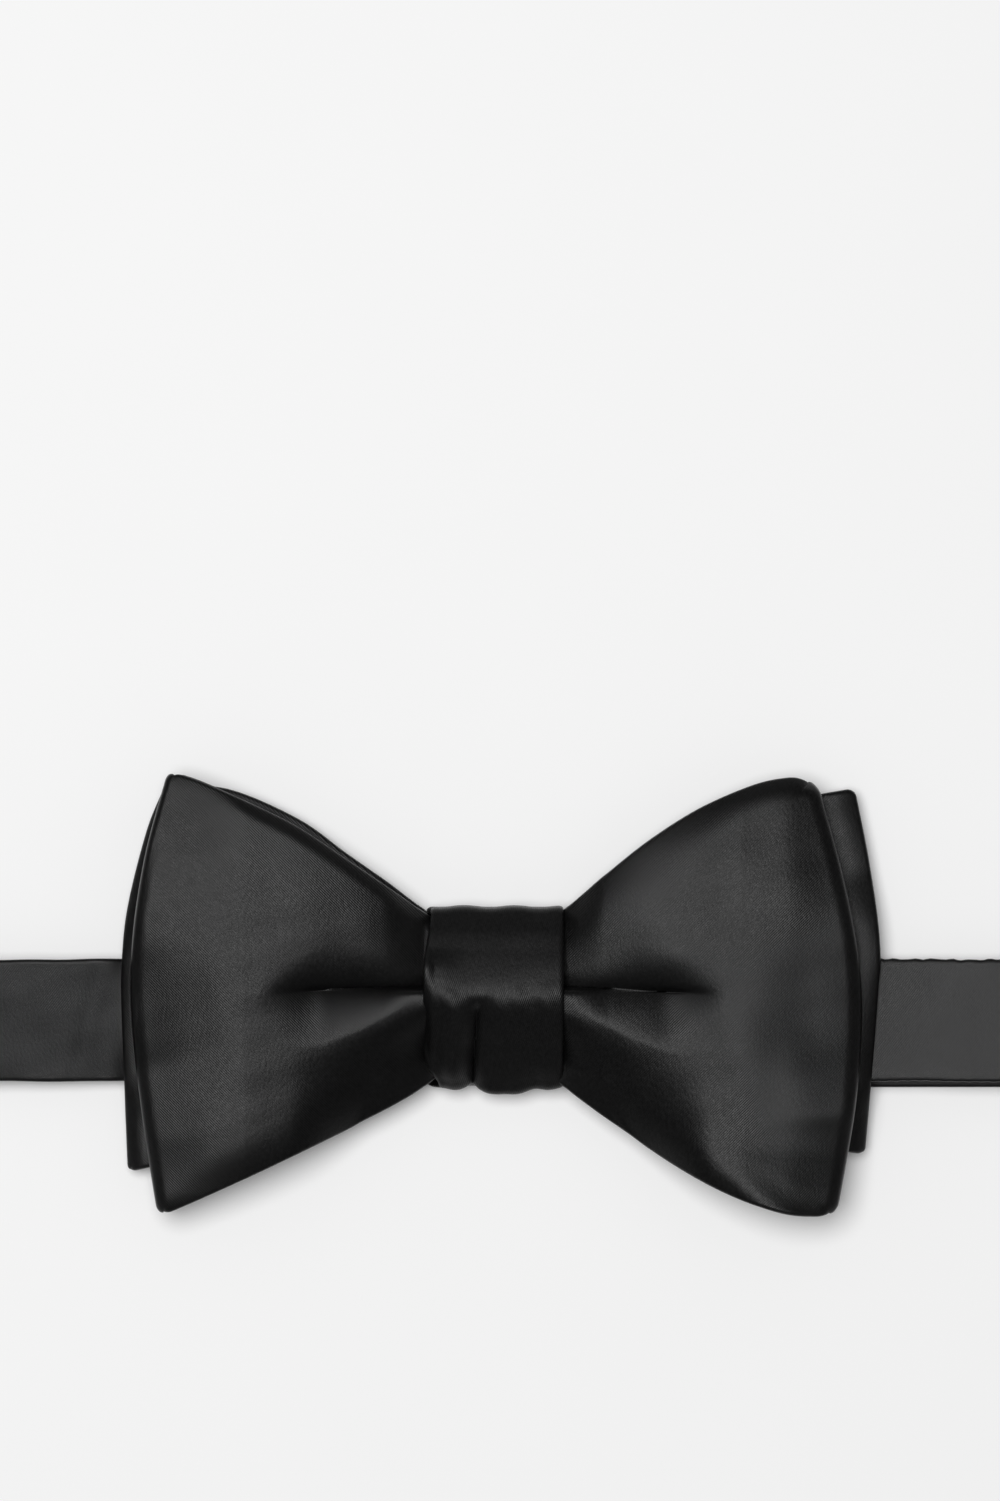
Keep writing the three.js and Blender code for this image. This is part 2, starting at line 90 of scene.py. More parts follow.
PLY = 1.2  # thickness of a panel of the bow
STRAP = 0.9  # thickness of the neck band
HALF_WIDTH = 9.5  # of the neck band
CANVAS_PLY = 0.3
CANVAS_HALF_WIDTH = 8.6  # of the interlining in the neck band
FOLD_RADIUS = FOLD_Z - STRAP / 2
ARM_Z = STRAP / 2
FOLD_TOP = ARM_Z + 2 * FOLD_RADIUS
LAYER = STRAP + GAP
WAIST = 11.4  # half the height of the bow's waist, inside the knot

# Each wing's outline in plan. The corners are the radii of the lower and upper outer ones.
LOOP = {
    "left": {
        "top": [
            (0, WAIST), (-8, 12), (-11.2, 13.7), (-14, 15.5), (-18, 18.3),
            (-23, 21.7), (-31, 27), (-39, 31), (-46, 34.2), (-50.8, 35.8),
        ],
        "bottom": [
            (0, -WAIST), (-7.4, -12), (-10.6, -13.8), (-14, -15.9), (-22, -20.1),
            (-30, -23.9), (-38, -27.7), (-46, -31.4), (-52.4, -34.2),
        ],
        "outer": [(-52.4, -34.2), (-54.6, -20), (-56.4, -4), (-56.4, 8), (-54.4, 22), (-50.8, 35.8)],
        "corners": (1.8, 1.6),
    },
    "right": {
        "top": [
            (0, WAIST), (8, 12), (11.2, 14), (14, 16.2), (18, 19.7),
            (24.7, 25), (32.6, 30), (40.5, 33.4), (45.5, 34.6), (50.4, 34.8),
        ],
        "bottom": [
            (0, -WAIST), (8, -12.2), (11.2, -14.1), (14, -16.2), (22, -21.9),
            (30, -27), (38, -31), (46, -33.6), (53.4, -34.2),
        ],
        "outer": [(53.4, -34.2), (56, -20), (57.4, -6), (57, 6), (54.4, 20), (50.4, 34.8)],
        "corners": (2.4, 3.2),
    },
}
TAILS = {
    "left": {
        "top": [
            (0, WAIST), (-8, 12.2), (-11.2, 14.1), (-14, 16.1), (-18, 19.1),
            (-23.4, 22.9), (-31, 28.3), (-42, 33), (-52, 33.6),
        ],
        "bottom": [
            (0, -WAIST), (-8, -12), (-12, -13.6), (-16, -15), (-30, -19.4), (-44, -24.2), (-57.9, -27.8),
        ],
        "outer": [(-57.9, -27.8), (-58.5, -12), (-58.9, 3), (-57.9, 14), (-55, 26), (-52, 33.6)],
        "corners": (1.2, 2),
    },
    "right": {
        "top": [(0, WAIST), (8, 12), (12, 14.2), (18, 18.8), (30, 25.4), (44, 30.6), (57.3, 33.2)],
        "bottom": [(0, -WAIST), (8, -12), (12, -13.6), (18, -15.6), (30, -18.6), (44, -22.2), (58.8, -25)],
        "outer": [(58.8, -25), (59.8, -13), (60.8, 0), (61.2, 8), (59.8, 20), (57.3, 33.2)],
        "corners": (1.2, 1.4),
    },
}


# ---------------------------------------------------------------- small helpers


def ramp(low, high, x):
    """Goes smoothly from 0 at low to 1 at high. low may be the larger one."""
    t = np.clip((x - low) / (high - low), 0, 1)
    return t * t * (3 - 2 * t)


def bump(centre, width, x):
    """A smooth hill of height 1."""
    return np.exp(-(((x - centre) / width) ** 2))


class Line:
    """A smooth line through points, read by the share of its length."""

    def __init__(self, points):
        p = np.array(points, float)
        p = np.vstack([2 * p[0] - p[1], p, 2 * p[-1] - p[-2]])
        t = np.linspace(0, 1, 40)[:, None]
        parts = []
        for a, b, c, d in zip(p, p[1:], p[2:], p[3:]):
            bend = (2 * a - 5 * b + 4 * c - d) * t**2 + (3 * b - a - 3 * c + d) * t**3
            parts.append(0.5 * (2 * b + (c - a) * t + bend))
        self.xy = np.vstack(parts)
        steps = np.linalg.norm(np.diff(self.xy, axis=0), axis=1)
        self.share = np.concatenate([[0], np.cumsum(steps)]) / steps.sum()

    def at(self, t):
        return [np.interp(t, self.share, self.xy[:, i]) for i in range(self.xy.shape[1])]


def rounded_corners(u, v, size, radius):
    """Moves the outer corners of a wing in, so that each is a round of that radius. size is in mm."""
    q = [np.clip(radius - (1 - c) * reach, 0, radius) for c, reach in zip((u, np.abs(v)), size)]
    shrink = np.maximum(q[0], q[1]) / np.maximum(np.hypot(q[0], q[1]), 1e-6)
    u, v = u - q[0] * (1 - shrink) / size[0], v - np.sign(v) * q[1] * (1 - shrink) / size[1]
    return u, v


def wing(outline):
    """A wing in plan: u runs from the waist to the outer edge, v from the bottom to the top.

    The surface is blended between its four edges.
    """
    above, below, outer = (Line(outline[k]) for k in ("top", "bottom", "outer"))
    corners = [outline["bottom"][0], outline["top"][0], outline["bottom"][-1], outline["top"][-1]]
    size = abs(outline["top"][-1][0]), (outline["top"][-1][1] - outline["bottom"][-1][1]) / 2

    def at(u, v):
        radius = np.where(v > 0, outline["corners"][1], outline["corners"][0])
        u, v = rounded_corners(u, v, size, radius)
        s = (v + 1) / 2
        a, b, o = above.at(u), below.at(u), outer.at(s)
        out = []
        for i in range(2):
            c = [corner[i] for corner in corners]
            edges = (1 - s) * b[i] + s * a[i] + (1 - u) * (c[0] + (c[1] - c[0]) * s) + u * o[i]
            out.append(edges - (1 - u) * ((1 - s) * c[0] + s * c[1]) - u * ((1 - s) * c[2] + s * c[3]))
        return out

    return at


def new_object(name, vertices, faces):
    mesh = bpy.data.meshes.new(name)
    mesh.from_pydata([tuple(v) for v in vertices * MM], [], faces)
    mesh.validate()
    obj = bpy.data.objects.new(name, mesh)
    bpy.context.scene.collection.objects.link(obj)
    return obj


def grid_faces(nu, nv, offset, flip):
    """The quads of a grid of points whose first point has the number offset."""
    faces = []
    for i in range(nu - 1):
        for j in range(nv - 1):
            a = offset + i * nv + j
            quad = (a, a + nv, a + nv + 1, a + 1)
            faces.append(quad[::-1] if flip else quad)
    return faces


def edge_profile(points, axis, radius):
    """1 over most of a panel, falling round to 0 at its two edges, as cloth turned over does."""
    steps = np.linalg.norm(np.diff(points, axis=axis), axis=2)
    share = np.insert(np.cumsum(steps, axis=axis), 0, 0, axis=axis)
    whole = np.take(share, [-1], axis=axis)
    inside = np.clip(np.minimum(share, whole - share) / radius, 0, 1)
    return np.sqrt(1 - (1 - inside) ** 2)


def panel(name, points, thickness, round_u=True, round_v=True, roll=0.7):
    """A closed sheet of cloth about a grid of points (nu, nv, 3), with rounded edges."""
    nu, nv, _ = points.shape
    along = np.gradient(points, axis=0)
    across = np.gradient(points, axis=1)
    normal = np.cross(along, across)
    normal /= np.linalg.norm(normal, axis=2, keepdims=True)
    height = np.ones((nu, nv))
    if round_v:
        height = height * edge_profile(points, 1, roll)
    if round_u:
        height = height * edge_profile(points, 0, roll)
    half = normal * (height * thickness / 2)[:, :, None]
    vertices = np.concatenate([(points + half).reshape(-1, 3), (points - half).reshape(-1, 3)])
    faces = grid_faces(nu, nv, 0, False) + grid_faces(nu, nv, nu * nv, True)
    lower = nu * nv
    for i in range(nu - 1):
        for j, flip in ((0, False), (nv - 1, True)):
            a, b = i * nv + j, (i + 1) * nv + j
            quad = (a, a + lower, b + lower, b)
            faces.append(quad[::-1] if flip else quad)
    for j in range(nv - 1):
        for i, flip in ((0, True), (nu - 1, False)):
            a, b = i * nv + j, i * nv + j + 1
            quad = (a, a + lower, b + lower, b)
            faces.append(quad[::-1] if flip else quad)
    obj = new_object(name, vertices, faces)
    welded = bmesh.new()
    welded.from_mesh(obj.data)
    bmesh.ops.remove_doubles(welded, verts=welded.verts, dist=2e-6)
    bmesh.ops.recalc_face_normals(welded, faces=welded.faces)
    welded.to_mesh(obj.data)
    welded.free()
    obj.data.shade_smooth()
    return obj


def spaced(low, high, count, crowd=0.0):
    """Even steps from low to high, crowded towards both ends."""
    t = np.linspace(0, 1, count)
    eased = 0.5 - 0.5 * np.cos(np.pi * t)
    return low + (high - low) * ((1 - crowd) * t + crowd * eased)


# ---------------------------------------------------------------- materials


def node_material(name):
    material = bpy.data.materials.new(name)
    material.use_nodes = True
    tree = material.node_tree
    shader = tree.nodes["Principled BSDF"]
    return material, tree, shader


def link(tree, source, output, target, name):
    tree.links.new(source.outputs[output], target.inputs[name])


def texture(tree, kind, place, **values):
    node = tree.nodes.new(kind)
    for key, value in values.items():
        if key in node.inputs:
            node.inputs[key].default_value = value
        else:
            setattr(node, key, value)
    link(tree, place, "Vector", node, "Vector")
    return node


def mapping(tree, turn=0.0, scale=(1, 1, 1)):
    coordinates = tree.nodes.new("ShaderNodeTexCoord")
    node = tree.nodes.new("ShaderNodeMapping")
    node.inputs["Rotation"].default_value = (0, 0, turn)
    node.inputs["Scale"].default_value = scale
    link(tree, coordinates, "Object", node, "Vector")
    return node


def math_node(tree, operation, a, b):
    node = tree.nodes.new("ShaderNodeMath")
    node.operation = operation
    for i, value in enumerate((a, b)):
        if isinstance(value, (int, float)):
            node.inputs[i].default_value = value
        else:
            tree.links.new(value, node.inputs[i])
    return node.outputs[0]


def weighted(tree, first, *others):
    """first, plus each of the others times its weight."""
    total = first
    for value, weight in others:
        total = math_node(tree, "ADD", total, math_node(tree, "MULTIPLY", value, weight))
    return total


def base_colour(tree, shader, factor, low, high, start=0.0, end=1.0):
    """The base colour runs from low to high as the factor runs from start to end."""
    shade = tree.nodes.new("ShaderNodeValToRGB")
    for stop, position, colour in zip(shade.color_ramp.elements, (start, end), (low, high)):
        stop.position = position
        stop.color = (*colour, 1)
    tree.links.new(factor, shade.inputs["Fac"])
    link(tree, shade, "Color", shader, "Base Color")


def fine_relief(tree, shader, height, strength, depth):
    """The relief of a weave or a scratch. depth is in m."""
    relief = tree.nodes.new("ShaderNodeBump")
    relief.inputs["Strength"].default_value = strength
    relief.inputs["Distance"].default_value = depth
    tree.links.new(height, relief.inputs["Height"])
    link(tree, relief, "Normal", shader, "Normal")


WAVE_LENGTH = 0.314  # m, of a wave texture with a scale of 1


def satin(name, turn, roughness=0.36):
    """Black satin: fine diagonal floats, uneven threads, and a soft sheen."""
    tone = 0.0015
    float_pitch = 0.0003  # m
    material, tree, shader = node_material(name)
    floats = texture(
        tree, "ShaderNodeTexWave", mapping(tree, turn), Scale=WAVE_LENGTH / float_pitch, Distortion=1.2,
        Detail=2.0, **{"Detail Scale": 6.0},
    ).outputs["Fac"]
    threads = texture(tree, "ShaderNodeTexNoise", mapping(tree, turn, (1, 0.6, 1)), Scale=2300, Detail=2.0)
    threads = threads.outputs["Fac"]
    patches = texture(tree, "ShaderNodeTexNoise", mapping(tree), Scale=55, Detail=3.0).outputs["Fac"]
    slub = texture(tree, "ShaderNodeTexNoise", mapping(tree, turn, (1, 0.06, 1)), Scale=420, Detail=2.0)
    slub = slub.outputs["Fac"]

    weave = weighted(tree, floats, (threads, 1.6), (slub, 0.6))
    highest = 2.4  # that the weave reaches, but for a few threads
    low, high = tone * 0.45, tone * 1.9
    base_colour(
        tree, shader, math_node(tree, "MULTIPLY", weave, 1 / highest),
        (low, low, low * 1.02), (high, high, high * 1.03), start=0.45, end=2.1 / highest,
    )
    # The patches and threads average a half, so the roughness is close to the one asked for.
    rough = weighted(tree, roughness - 0.165, (patches, 0.10), (threads, 0.25))
    tree.links.new(rough, shader.inputs["Roughness"])
    fine_relief(tree, shader, weave, 0.5, 0.000047)
    shader.inputs["Specular IOR Level"].default_value = 0.22
    shader.inputs["IOR"].default_value = 1.5
    return material


def canvas(name):
    """Interlining: a matt plain weave."""
    tone = 0.05
    pitch = 0.0005  # m
    material, tree, shader = node_material(name)
    place = mapping(tree)
    across = {"Scale": WAVE_LENGTH / pitch, "Distortion": 0.6}
    warp = texture(tree, "ShaderNodeTexWave", place, **across).outputs["Fac"]
    weft = texture(tree, "ShaderNodeTexWave", place, bands_direction="Y", **across).outputs["Fac"]
    fibres = texture(tree, "ShaderNodeTexNoise", place, Scale=1500, Detail=3.0).outputs["Fac"]
    height = math_node(tree, "ADD", math_node(tree, "ADD", warp, weft), fibres)
    base_colour(
        tree, shader, math_node(tree, "MULTIPLY", height, 0.33),
        (tone * 0.6, tone * 0.58, tone * 0.55), (tone * 1.5, tone * 1.45, tone * 1.38),
    )
    fine_relief(tree, shader, height, 0.6, 0.0001)
    shader.inputs["Roughness"].default_value = 0.92
    return material


def thread_material(name):
    """Sewing thread: two plies twisted together."""
    material, tree, shader = node_material(name)
    pitch = 0.00025  # m
    place = mapping(tree, math.radians(30))
    twist = texture(tree, "ShaderNodeTexWave", place, Scale=WAVE_LENGTH / pitch, Distortion=0.5)
    twist = twist.outputs["Fac"]
    fibres = texture(tree, "ShaderNodeTexNoise", mapping(tree), Scale=9000, Detail=2.0).outputs["Fac"]
    mixed = math_node(tree, "MULTIPLY", math_node(tree, "ADD", twist, fibres), 0.5)
    base_colour(tree, shader, mixed, (0.006, 0.006, 0.007), (0.035, 0.035, 0.037))
    fine_relief(tree, shader, mixed, 0.5, 0.00005)
    shader.inputs["Roughness"].default_value = 0.55
    shader.inputs["Sheen Weight"].default_value = 0.2
    return material


def clip_metal(name):
    """Nickel-plated steel: softly polished, with fine scratches and dulled patches."""
    material, tree, shader = node_material(name)
    scratches = texture(tree, "ShaderNodeTexNoise", mapping(tree, 0.2, (1, 0.04, 1)), Scale=2600, Detail=3.0)
    scratches = scratches.outputs["Fac"]
    patches = texture(tree, "ShaderNodeTexNoise", mapping(tree), Scale=160, Detail=4.0).outputs["Fac"]
    base_colour(tree, shader, patches, (0.42, 0.415, 0.40), (0.66, 0.655, 0.635), start=0.3, end=0.7)
    rough = weighted(tree, 0.14, (patches, 0.22), (scratches, 0.08))
    tree.links.new(rough, shader.inputs["Roughness"])
    fine_relief(tree, shader, scratches, 0.2, 0.00002)
    shader.inputs["Metallic"].default_value = 1.0
    return material


LEFT_SATIN = satin("satin_left_bias", turn=math.radians(-45))
RIGHT_SATIN = satin("satin_right_bias", turn=math.radians(45))
KNOT_SATIN = satin("satin_knot", turn=math.radians(20), roughness=0.41)
BAND_SATIN = satin("satin_band", turn=math.radians(38))
CANVAS = canvas("interlining_weave")
THREAD = thread_material("sewing_thread")
METAL = clip_metal("nickel_plate")


def finish_piece(obj, material, slot, body, *nodes):
    """Gives a piece its material and the body that it rides on, and hides the CAD nodes it stands for. slot
    is not used.
    """
    obj.data.materials.append(material)
    if body:
        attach(obj, body)
    if nodes:
        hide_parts(*nodes)
    return obj


# ---------------------------------------------------------------- the bow's two pieces


def tails_height(x, y):
    """The tails' middle surface."""
    a = np.abs(x)
    lift = 3.2 * ramp(9, 20, a)  # over the neck band
    droop = 2.6 * ramp(11.5, 21, np.abs(y)) * ramp(9, 16, a) * (1 - 0.45 * ramp(24, 40, a))
    return 3.7 + lift - droop - 0.6 * ramp(20, 34, np.abs(y))


def panel_step(x):
    """From one panel's middle to the next one's: they are pressed together at the waist."""
    return PLY + 0.15 + 0.25 * ramp(8, 14, np.abs(x))


def loop_back_height(x, y):
    """The middle surface of the loop's back."""
    return tails_height(x, y) + panel_step(x)


def soft_waves(x, y, size):
    """The gentle unevenness of satin over its interlining."""
    a = np.sin(0.31 * x + 0.17 * y + 1.3) * np.sin(0.12 * x - 0.27 * y + 0.4)
    b = np.sin(0.53 * x - 0.41 * y + 2.1) * np.sin(0.22 * x + 0.61 * y)
    return size * (a + 0.4 * b)


def past(start, x, soft=1.0):
    """How far x is past start, turning smoothly from 0."""
    return soft * np.logaddexp(0, (x - start) / soft)


def front_height(x, y, u, v):
    """The loop's front: it rises out of the knot, rolls at its edges, and has one pleat."""
    a = np.abs(x)
    right = x > 0
    rise = 3.2 * np.tanh(np.maximum(a - 11, 0) / 10) + 0.05 * (np.clip(a, 18, 39) - 18) - 1.6 * ramp(11, 4, a)
    curve = np.where(y > 0, 0.0030, 0.0012 - 0.0020 * ramp(24, 34, a)) + 0.008 * ramp(18, 10, a)
    height = 10.0 + rise - curve * y**2

    # The pleat: a valley from the knot out to the middle of the wing, with a small step along its
    # line. Its upper side is steep, and its lower side climbs to a crest that leans down and outwards.
    line_y = 1.4 + 0.5 * ramp(12, 24, a) - 0.4 * ramp(28, 37, a)
    crest_y = np.where(right, -1.1, -0.2) - 0.8 * ramp(27, 20, a)
    crest_y -= 0.48 * (a - 12) * (1 - 0.35 * ramp(26, 36, a))
    t = y - line_y
    end = 1 - ramp(25.5, np.where(right, 36.5, 37.5), a)
    roll = 3.0 + 4.0 * ramp(12, 22, a) - 2.4 * ramp(25, 33, a)
    span = np.maximum(line_y - crest_y - 0.9, 0.8)
    upper = (0.5 + 1.2 * ramp(11, 21, a)) * np.clip(1 - t / roll, 0, 1) ** 2
    lower = 0.36 * ramp(11, 18, a) * span * np.clip(1 + t / (1.08 * span), 0, 1) ** 1.25
    height -= end * (lower + (upper - lower) * ramp(-0.8, 0.3, t))
    height -= np.where(right, 0.35, 0.7) * (1 - ramp(25, 34, a)) * np.exp(-np.abs(t) / 0.7)
    height -= 0.29 * (1 - ramp(19, np.where(right, 35, 32), a)) * past(1.3, crest_y - y, 2.0)
    fade = np.exp(-np.maximum(a - 11, 0) / np.where(right, 5.5, 7)) * ramp(5, 10.5, a)
    swell = np.where(right, 2.2, 2.5) * fade
    height += swell * np.where(y > crest_y, ramp(0.5, -0.7, t), bump(crest_y, 4.2, y))

    # The long edges roll over, the lower one more softly, apart from one fold at the right.
    streak = np.where(right, bump(11, 4.4, x + y) * ramp(-18, -23, y), 0)
    reach = 12.2 + 0.56 * (a - 11)
    from_top, from_bottom = (1 - v) * reach, (1 + v) * reach
    top_roll = np.where(right, 8.0 - 4.6 * ramp(24, 42, a), 2.4)
    bottom_roll = 6.4 - 1.6 * ramp(42, 50, a)
    top_drop = np.where(right, 1.4, 1 - 0.8 * ramp(37, 45, a))
    height -= top_drop * np.clip(1 - from_top / top_roll, 0, 1) ** 2
    height -= np.where(right, 0, 0.55 * ramp(42, 32, a) * np.clip(1 - from_top / 10, 0, 1) ** 2)
    height -= 1.2 * (1 - 0.85 * streak) * np.clip(1 - from_bottom / bottom_roll, 0, 1) ** 2
    height -= np.where(right, 0.09 * ramp(-17, -25, y) * past(15, x + y, 1.5), 0)
    height += np.where(right, 0.7 * ramp(-19, -36, y) * bump(11, 5.5, x + y), 0)
    height += np.where(right, 0.04 * ramp(4, 12, y) * (past(37, x) - past(46, x)), 0)

    # Near the outer fold the cloth falls away, most at the middle of the left wing.
    middle = bump(-3, np.where(right, 10, 14), y)
    height -= middle * np.where(right, 0.15 * past(41, a), 0.26 * past(42, a, 1.2))
    corner = 0.16 * ramp(-10, -19, y) * past(44, a, 1.5) + 0.10 * past(32, a, 2) * ramp(-17, -30, y)
    height -= np.where(right, 0, corner)
    height -= np.where(right, 0.12 * (1 - middle) * past(46.5, a, 0.6), 0)

    height -= np.where(right, 0.7, 0.7 * ramp(28, 16, y)) * np.clip(1 - (1 - u) * 56 / 1.9, 0, 1) ** 2

    relief = soft_waves(x + np.where(right, 7, -7), y, 0.10) * ramp(0.05, 0.3, u) * (1 - v**4)
    return at_least(loop_back_height(x, y) + panel_step(x) + GAP, height + relief)


def at_least(low, x):
    """x, kept above low with a soft turn."""
    return low + past(0, x - low, 0.25)


LOOP_FOLD_FROM = 0.995  # the share of a wing's length where its outer fold starts


def loop_points(v, waist=0.005):
    """The loop's middle surface, from its back end round both folds and back to its other end."""
    wings = {-1: wing(LOOP["left"]), 1: wing(LOOP["right"])}
    rows = []

    def row(side, u, turn):
        grid_v = v[None, :]
        grid_u = np.full_like(grid_v, u)
        x, y = wings[side](grid_u, grid_v)
        back = loop_back_height(x, y)
        half = (front_height(x, y, grid_u, grid_v) - back) / 2
        rows.append(np.stack([x, y, back + half * (1 + turn)], axis=-1)[0])

    def run(side, us, turn):
        for u in us:
            row(side, u, turn)

    back_u = np.linspace(waist, LOOP_FOLD_FROM, 36)
    front_u = np.append(np.linspace(0, 0.958, 124), np.linspace(0.963, LOOP_FOLD_FROM, 8))
    angles = np.linspace(-math.pi / 2, math.pi / 2, 17)[1:-1]

    def fold(side, order):
        for angle in order:
            row(side, LOOP_FOLD_FROM + (1 - LOOP_FOLD_FROM) * math.cos(angle), math.sin(angle))

    run(-1, back_u, -1)
    fold(-1, angles)
    run(-1, front_u[::-1], 1)
    run(1, front_u[1:], 1)
    fold(1, angles[::-1])
    run(1, back_u[::-1], -1)
    return np.array(rows)


def tails_points(u, v):
    """The tails' middle surface: u runs from the left end, -1, to the right end, 1."""
    wings = {-1: wing(TAILS["left"]), 1: wing(TAILS["right"])}
    grid_u, grid_v = np.meshgrid(u, v, indexing="ij")
    x = np.zeros_like(grid_u)
    y = np.zeros_like(grid_u)
    for side in (-1, 1):
        here = np.sign(grid_u) == side if side < 0 else grid_u >= 0
        px, py = wings[side](np.abs(grid_u), grid_v)
        x = np.where(here, px, x)
        y = np.where(here, py, y)
    off_band = ramp(7, 12, y) + ramp(-14, -19, y)
    edge = np.clip((np.abs(grid_u) - 0.94) / 0.06, 0, 1) ** 2
    droop = (1 + 0.7 * off_band) * edge * np.where(x < 0, 1, 0.3 + 0.7 * ramp(18, -10, y))
    z = tails_height(x, y) - droop + soft_waves(x + 20, y + 9, 0.12) * ramp(14, 24, np.abs(x))
    return np.stack([x, y, z], axis=-1)


def right_half_on_other_bias(obj):
    """The satin's floats slant the other way on the right wing."""
    obj.data.materials.append(RIGHT_SATIN)
    for polygon in obj.data.polygons:
        polygon.material_index = 1 if polygon.center.x > 0 else 0


loop = panel("bow_loop_satin", loop_points(spaced(-1, 1, 190, 0.7)), PLY, round_u=False)
finish_piece(loop, LEFT_SATIN, "satin", "bow", "bow_loop")
right_half_on_other_bias(loop)

lining = panel("bow_loop_canvas", loop_points(spaced(-0.94, 0.94, 180), 0.02), CANVAS_PLY, False, False)
finish_piece(lining, CANVAS, "interlining", "bow", "bow_loop_interlining")

tails = panel("bow_tails_satin", tails_points(spaced(-1, 1, 220, 0.6), spaced(-1, 1, 90, 0.85)), PLY)
finish_piece(tails, LEFT_SATIN, "satin", "bow", "bow_tails")
right_half_on_other_bias(tails)

inner = tails_points(spaced(-0.96, 0.96, 80), spaced(-0.93, 0.93, 30))
lining = panel("bow_tails_canvas", inner, CANVAS_PLY, False, False)
finish_piece(lining, CANVAS, "interlining", "bow", "bow_tails_interlining")

# ---------------------------------------------------------------- the knot

KNOT_HALF = KNOT_HIGH[0]
KNOT_REACH = KNOT_HIGH[1]
KNOT_TOP = KNOT_HIGH[2] + 0.3


def knot_roof(t):
    """The knot's front across the band: a round ridge, steeper below than above."""
    return -np.where(t > 0, 0.35, 0.6) * (np.sqrt(t**2 + 2.6**2) - 2.6)


def knot_outline(inset, top):
    """The knot's section across the band, from the middle of its back anticlockwise."""
    half = KNOT_REACH - inset
    low = inset
    high = top - inset
    points = [(0, low), (half * 0.55, low), (half - 1.2, low), (half - 0.25, low + 0.9), (half, low + 3)]
    points += [(half, 6.2), (half - 0.05, 7.6), (half - 0.3, high - 5.6)]
    points += [(12.4, high - 4.75), (10.2, high - 3.4)]
    points += [(y, high - 0.6 + knot_roof(y - 0.4)) for y in (7, 5, 4, 3, 2, 1, 0, -1, -2, -3, -4, -5.5, -7)]
    points += [(-10.2, high - 5.5), (-12.6, high - 7.2), (-half + 0.2, high - 8)]
    points += [(-half + 0.05, 5.4), (-half, 4.6)]
    points += [(-half, low + 2.2), (-half + 0.3, low + 0.8), (-half + 1.3, low), (-half * 0.55, low)]
    return Line(points + [(0, low)])


def knot_points(inset, ends, across=80, around=260):
    """The knot's surface before its folds, and d, how far the folds move each point along its normal."""
    outline = knot_outline(inset, KNOT_TOP)
    t = np.linspace(ends, 1 - ends, around)
    y, z = outline.at(t)
    w = spaced(-1, 1, across, 0.8)
    grid_y, grid_w = np.meshgrid(y, w, indexing="ij")
    grid_z, _ = np.meshgrid(z, w, indexing="ij")
    front = ramp(1.2, 4, grid_z)
    right = KNOT_HALF + 0.4 * front
    left = right - front * (1.2 * ramp(4, 14, grid_y) + 2.6 * ramp(-7.5, -14.4, grid_y) ** 1.5)
    x = np.where(grid_w < 0, left, right) * grid_w * (1 - 0.02 * inset)
    # A fold runs down from the middle, with one lobe of cloth to its left and lower ones to its right.
    fold_x = -2.3 + 0.08 * grid_y
    fold_top = 0.9 + 0.25 * np.abs(x - fold_x)
    below = ramp(fold_top, fold_top - 3.2, grid_y) * front
    steep = np.where(x > fold_x, 1.0, 1.7)
    pleat = -1.3 * below * np.exp(-np.abs((x - fold_x) / steep) ** 1.5)
    lobes = 0.5 * below * (bump(-6.4, 2.8, x) + 0.4 * bump(3.2, 2.6, x) + 0.4 * bump(8.6, 1.8, x))
    lobes += 0.10 * front * bump(-6.6, 2.6, x) * (past(0, -1 - grid_y) - 2 * past(0, -9 - grid_y))
    gathers = 0.12 * below * np.sin(1.35 * x + 0.35 * grid_y + 0.8) * ramp(-3, -9, grid_y)
    crest_y = 0.7 + 0.9 * ramp(-4, -9, x) + 2.0 * ramp(-9.2, -10.8, x)
    crease = (knot_roof(grid_y - crest_y) - knot_roof(grid_y - 0.4)) * front
    crease *= ramp(8, 4.5, grid_y) * ramp(-12, -7, grid_y)
    crease += 0.07 * np.sin(1.7 * x + 0.6 + 0.5 * grid_y) * bump(-0.8, 2.0, grid_y)
    rim = -0.25 * ramp(0.93, 1.0, np.abs(grid_w))
    d = pleat + lobes + gathers + crease + rim + soft_waves(x, grid_y, 0.05) * front
    hang = 0.95 * bump(1.4, 4.0, x) - 0.5 * bump(-7.5, 2.5, x)
    top_wave = 0.15 * np.sin(0.8 * x - 1) * ramp(10, 14, grid_y)
    grid_y = grid_y + front * (top_wave - hang * ramp(-9, -14, grid_y))
    return x, grid_y, grid_z, d


def knot_surface(inset, ends, **size):
    x, y, z, d = knot_points(inset, ends, **size)
    points = np.stack([x, y, z], axis=-1)
    normal = np.cross(np.gradient(points, axis=1), np.gradient(points, axis=0))
    normal /= np.linalg.norm(normal, axis=2, keepdims=True)
    return points - normal * d[:, :, None]


knot = panel("knot_satin", knot_surface(PLY / 2, 0.002), PLY, round_u=False, roll=0.6)
finish_piece(knot, KNOT_SATIN, "satin", "bow", "knot_wrap")
inner = knot_surface(PLY / 2, 0.012, across=24, around=120)
lining = panel("knot_canvas", inner, CANVAS_PLY, False, False)
lining.scale = (0.94, 1, 1)  # it stops short of the knot's two edges
finish_piece(lining, CANVAS, "interlining", "bow", "knot_wrap_interlining")

# ---------------------------------------------------------------- the neck band


